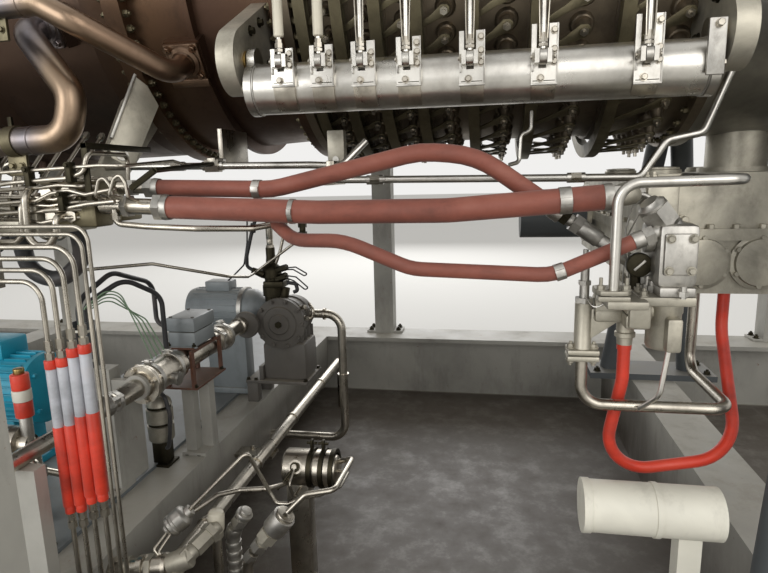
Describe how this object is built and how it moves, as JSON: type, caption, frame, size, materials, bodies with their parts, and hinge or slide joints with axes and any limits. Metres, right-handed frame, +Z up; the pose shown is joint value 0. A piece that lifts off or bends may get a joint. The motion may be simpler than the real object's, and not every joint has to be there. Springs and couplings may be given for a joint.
{
  "type": "aeroderivative gas turbine on its base frame",
  "caption": "Gas turbine on a steel base frame, with variable vane gear worked by a side shaft, bleed pipes, hoses and a fuel skid in an open bay frame.",
  "frame": {"origin": "on the floor under the middle of the base frame", "axes": "+X along the engine towards the air inlet, +Y to the far side, +Z up"},
  "size_m": [6.9, 2.7, 3],
  "materials": {
    "base_paint": "satin light grey paint, scuffed",
    "blue_grey_paint": "worn blue-grey paint",
    "dark_paint": "satin dark grey paint",
    "machined_alloy": "machined",
    "case_steel": "heat-tinted olive brown",
    "heated_steel": "heat-tinted brown",
    "bright_steel": "turned and bright",
    "ring_steel": "olive tinted",
    "cast_alloy": "as cast",
    "pipe_steel": "drawn tube",
    "hose_sleeve": "red-brown fire sleeve, satin",
    "cream_paint": "cream-grey paint",
    "white_plastic": "dusty",
    "grey_paint": "grey paint",
    "cast_iron": "dark painted casting",
    "rusty_paint": "red-brown primer, rusty",
    "black_rubber": "black cable sheath",
    "red_sleeve": "orange-red sleeve, satin",
    "turquoise_paint": "turquoise paint"
  },
  "bodies": {
    "frame_and_engine": {"base_frame": "base_paint", "cross_beam": "base_paint", "deck_plate": "blue_grey_paint", "bay_frame_near": "base_paint", "bay_frame_far": "base_paint", "bay_cross_ties": "base_paint", "front_support": "dark_paint", "rear_support": "dark_paint", "inlet_bellmouth": "machined_alloy", "inlet_centre_body": "machined_alloy", "front_frame": "machined_alloy", "compressor_front_case": "case_steel", "compressor_rear_case": "heated_steel", "combustor_case": "heated_steel", "turbine_case": "heated_steel", "turbine_mid_frame": "heated_steel", "power_turbine_case": "heated_steel", "turbine_rear_frame": "heated_steel", "exhaust_cone": "heated_steel", "output_shaft": "bright_steel", "accessory_gearbox": "cast_alloy", "starter_and_pumps": "dark_paint", "shaft_bearing_brackets": "cast_alloy", "bleed_pipe_upper": "pipe_steel", "bleed_pipe_lower": "pipe_steel", "hose_upper": "hose_sleeve", "hose_middle": "hose_sleeve", "hose_lower": "hose_sleeve", "hose_manifold": "pipe_steel", "fuel_valve": "cream_paint", "valve_pipe": "pipe_steel", "white_drain_pipe": "white_plastic", "fuel_pipe": "pipe_steel", "pipe_stands": "base_paint", "junction_box": "grey_paint", "pump_motor": "grey_paint", "pump_casing": "cast_iron", "floor_pipes": "pipe_steel", "clamp_frame": "rusty_paint", "cable_tray": "dark_paint", "motor_cables": "black_rubber", "red_hose": "red_sleeve", "side_motor": "turquoise_paint", "sleeved_tubes": "pipe_steel"},
    "vane_shaft": {"vane_shaft": "bright_steel"},
    "vane_link_1": {"vane_link_1": "bright_steel"},
    "vane_ring_1": {"vane_ring_1": "ring_steel"},
    "vane_link_2": {"vane_link_2": "bright_steel"},
    "vane_ring_2": {"vane_ring_2": "ring_steel"},
    "vane_link_3": {"vane_link_3": "bright_steel"},
    "vane_ring_3": {"vane_ring_3": "ring_steel"},
    "vane_link_4": {"vane_link_4": "bright_steel"},
    "vane_ring_4": {"vane_ring_4": "ring_steel"},
    "vane_link_5": {"vane_link_5": "bright_steel"},
    "vane_ring_5": {"vane_ring_5": "ring_steel"},
    "vane_link_6": {"vane_link_6": "bright_steel"},
    "vane_ring_6": {"vane_ring_6": "ring_steel"},
    "vane_link_7": {"vane_link_7": "bright_steel"},
    "vane_ring_7": {"vane_ring_7": "ring_steel"}
  },
  "joints": [
    {"name": "vane_shaft_turn", "type": "hinge", "parent": "frame_and_engine", "child": "vane_shaft", "pos_m": [1.4685, -0.54, 1.543], "axis": [1, 0, 0], "range_deg": [-12, 12]},
    {"name": "link_1_swing", "type": "hinge", "parent": "vane_shaft", "child": "vane_link_1", "pos_m": [1.106, -0.6, 1.528], "axis": [1, 0, 0], "range_deg": [-13, 13]},
    {"name": "ring_1_turn", "type": "hinge", "parent": "frame_and_engine", "child": "vane_ring_1", "pos_m": [1.106, 0, 1.84], "axis": [1, 0, 0], "range_deg": [-2.5, 2.5]},
    {"name": "link_2_swing", "type": "hinge", "parent": "vane_shaft", "child": "vane_link_2", "pos_m": [1.186, -0.60118, 1.52471], "axis": [1, 0, 0], "range_deg": [-13, 13]},
    {"name": "ring_2_turn", "type": "hinge", "parent": "frame_and_engine", "child": "vane_ring_2", "pos_m": [1.186, 0, 1.84], "axis": [1, 0, 0], "range_deg": [-2.5, 2.5]},
    {"name": "link_3_swing", "type": "hinge", "parent": "vane_shaft", "child": "vane_link_3", "pos_m": [1.269, -0.6024, 1.52129], "axis": [1, 0, 0], "range_deg": [-13, 13]},
    {"name": "ring_3_turn", "type": "hinge", "parent": "frame_and_engine", "child": "vane_ring_3", "pos_m": [1.269, 0, 1.84], "axis": [1, 0, 0], "range_deg": [-2.5, 2.5]},
    {"name": "link_4_swing", "type": "hinge", "parent": "vane_shaft", "child": "vane_link_4", "pos_m": [1.357, -0.60369, 1.51767], "axis": [1, 0, 0], "range_deg": [-13, 13]},
    {"name": "ring_4_turn", "type": "hinge", "parent": "frame_and_engine", "child": "vane_ring_4", "pos_m": [1.357, 0, 1.84], "axis": [1, 0, 0], "range_deg": [-2.5, 2.5]},
    {"name": "link_5_swing", "type": "hinge", "parent": "vane_shaft", "child": "vane_link_5", "pos_m": [1.476, -0.60544, 1.51276], "axis": [1, 0, 0], "range_deg": [-13, 13]},
    {"name": "ring_5_turn", "type": "hinge", "parent": "frame_and_engine", "child": "vane_ring_5", "pos_m": [1.476, 0, 1.84], "axis": [1, 0, 0], "range_deg": [-2.5, 2.5]},
    {"name": "link_6_swing", "type": "hinge", "parent": "vane_shaft", "child": "vane_link_6", "pos_m": [1.607, -0.60737, 1.50737], "axis": [1, 0, 0], "range_deg": [-13, 13]},
    {"name": "ring_6_turn", "type": "hinge", "parent": "frame_and_engine", "child": "vane_ring_6", "pos_m": [1.607, 0, 1.84], "axis": [1, 0, 0], "range_deg": [-2.5, 2.5]},
    {"name": "link_7_swing", "type": "hinge", "parent": "vane_shaft", "child": "vane_link_7", "pos_m": [1.786, -0.61, 1.5], "axis": [1, 0, 0], "range_deg": [-13, 13]},
    {"name": "ring_7_turn", "type": "hinge", "parent": "frame_and_engine", "child": "vane_ring_7", "pos_m": [1.786, 0, 1.84], "axis": [1, 0, 0], "range_deg": [-2.5, 2.5]}
  ],
  "couplings": [
    {"joint": "link_1_swing", "follows": "vane_shaft_turn", "ratio": -0.95208},
    {"joint": "ring_1_turn", "follows": "vane_shaft_turn", "ratio": 0.0996},
    {"joint": "link_2_swing", "follows": "vane_shaft_turn", "ratio": -0.94217},
    {"joint": "ring_2_turn", "follows": "vane_shaft_turn", "ratio": 0.10146},
    {"joint": "link_3_swing", "follows": "vane_shaft_turn", "ratio": -0.9321},
    {"joint": "ring_3_turn", "follows": "vane_shaft_turn", "ratio": 0.10332},
    {"joint": "link_4_swing", "follows": "vane_shaft_turn", "ratio": -0.92166},
    {"joint": "ring_4_turn", "follows": "vane_shaft_turn", "ratio": 0.10529},
    {"joint": "link_5_swing", "follows": "vane_shaft_turn", "ratio": -0.90791},
    {"joint": "ring_5_turn", "follows": "vane_shaft_turn", "ratio": 0.10786},
    {"joint": "link_6_swing", "follows": "vane_shaft_turn", "ratio": -0.89324},
    {"joint": "ring_6_turn", "follows": "vane_shaft_turn", "ratio": 0.11057},
    {"joint": "link_7_swing", "follows": "vane_shaft_turn", "ratio": -0.87394},
    {"joint": "ring_7_turn", "follows": "vane_shaft_turn", "ratio": 0.1142}
  ]
}
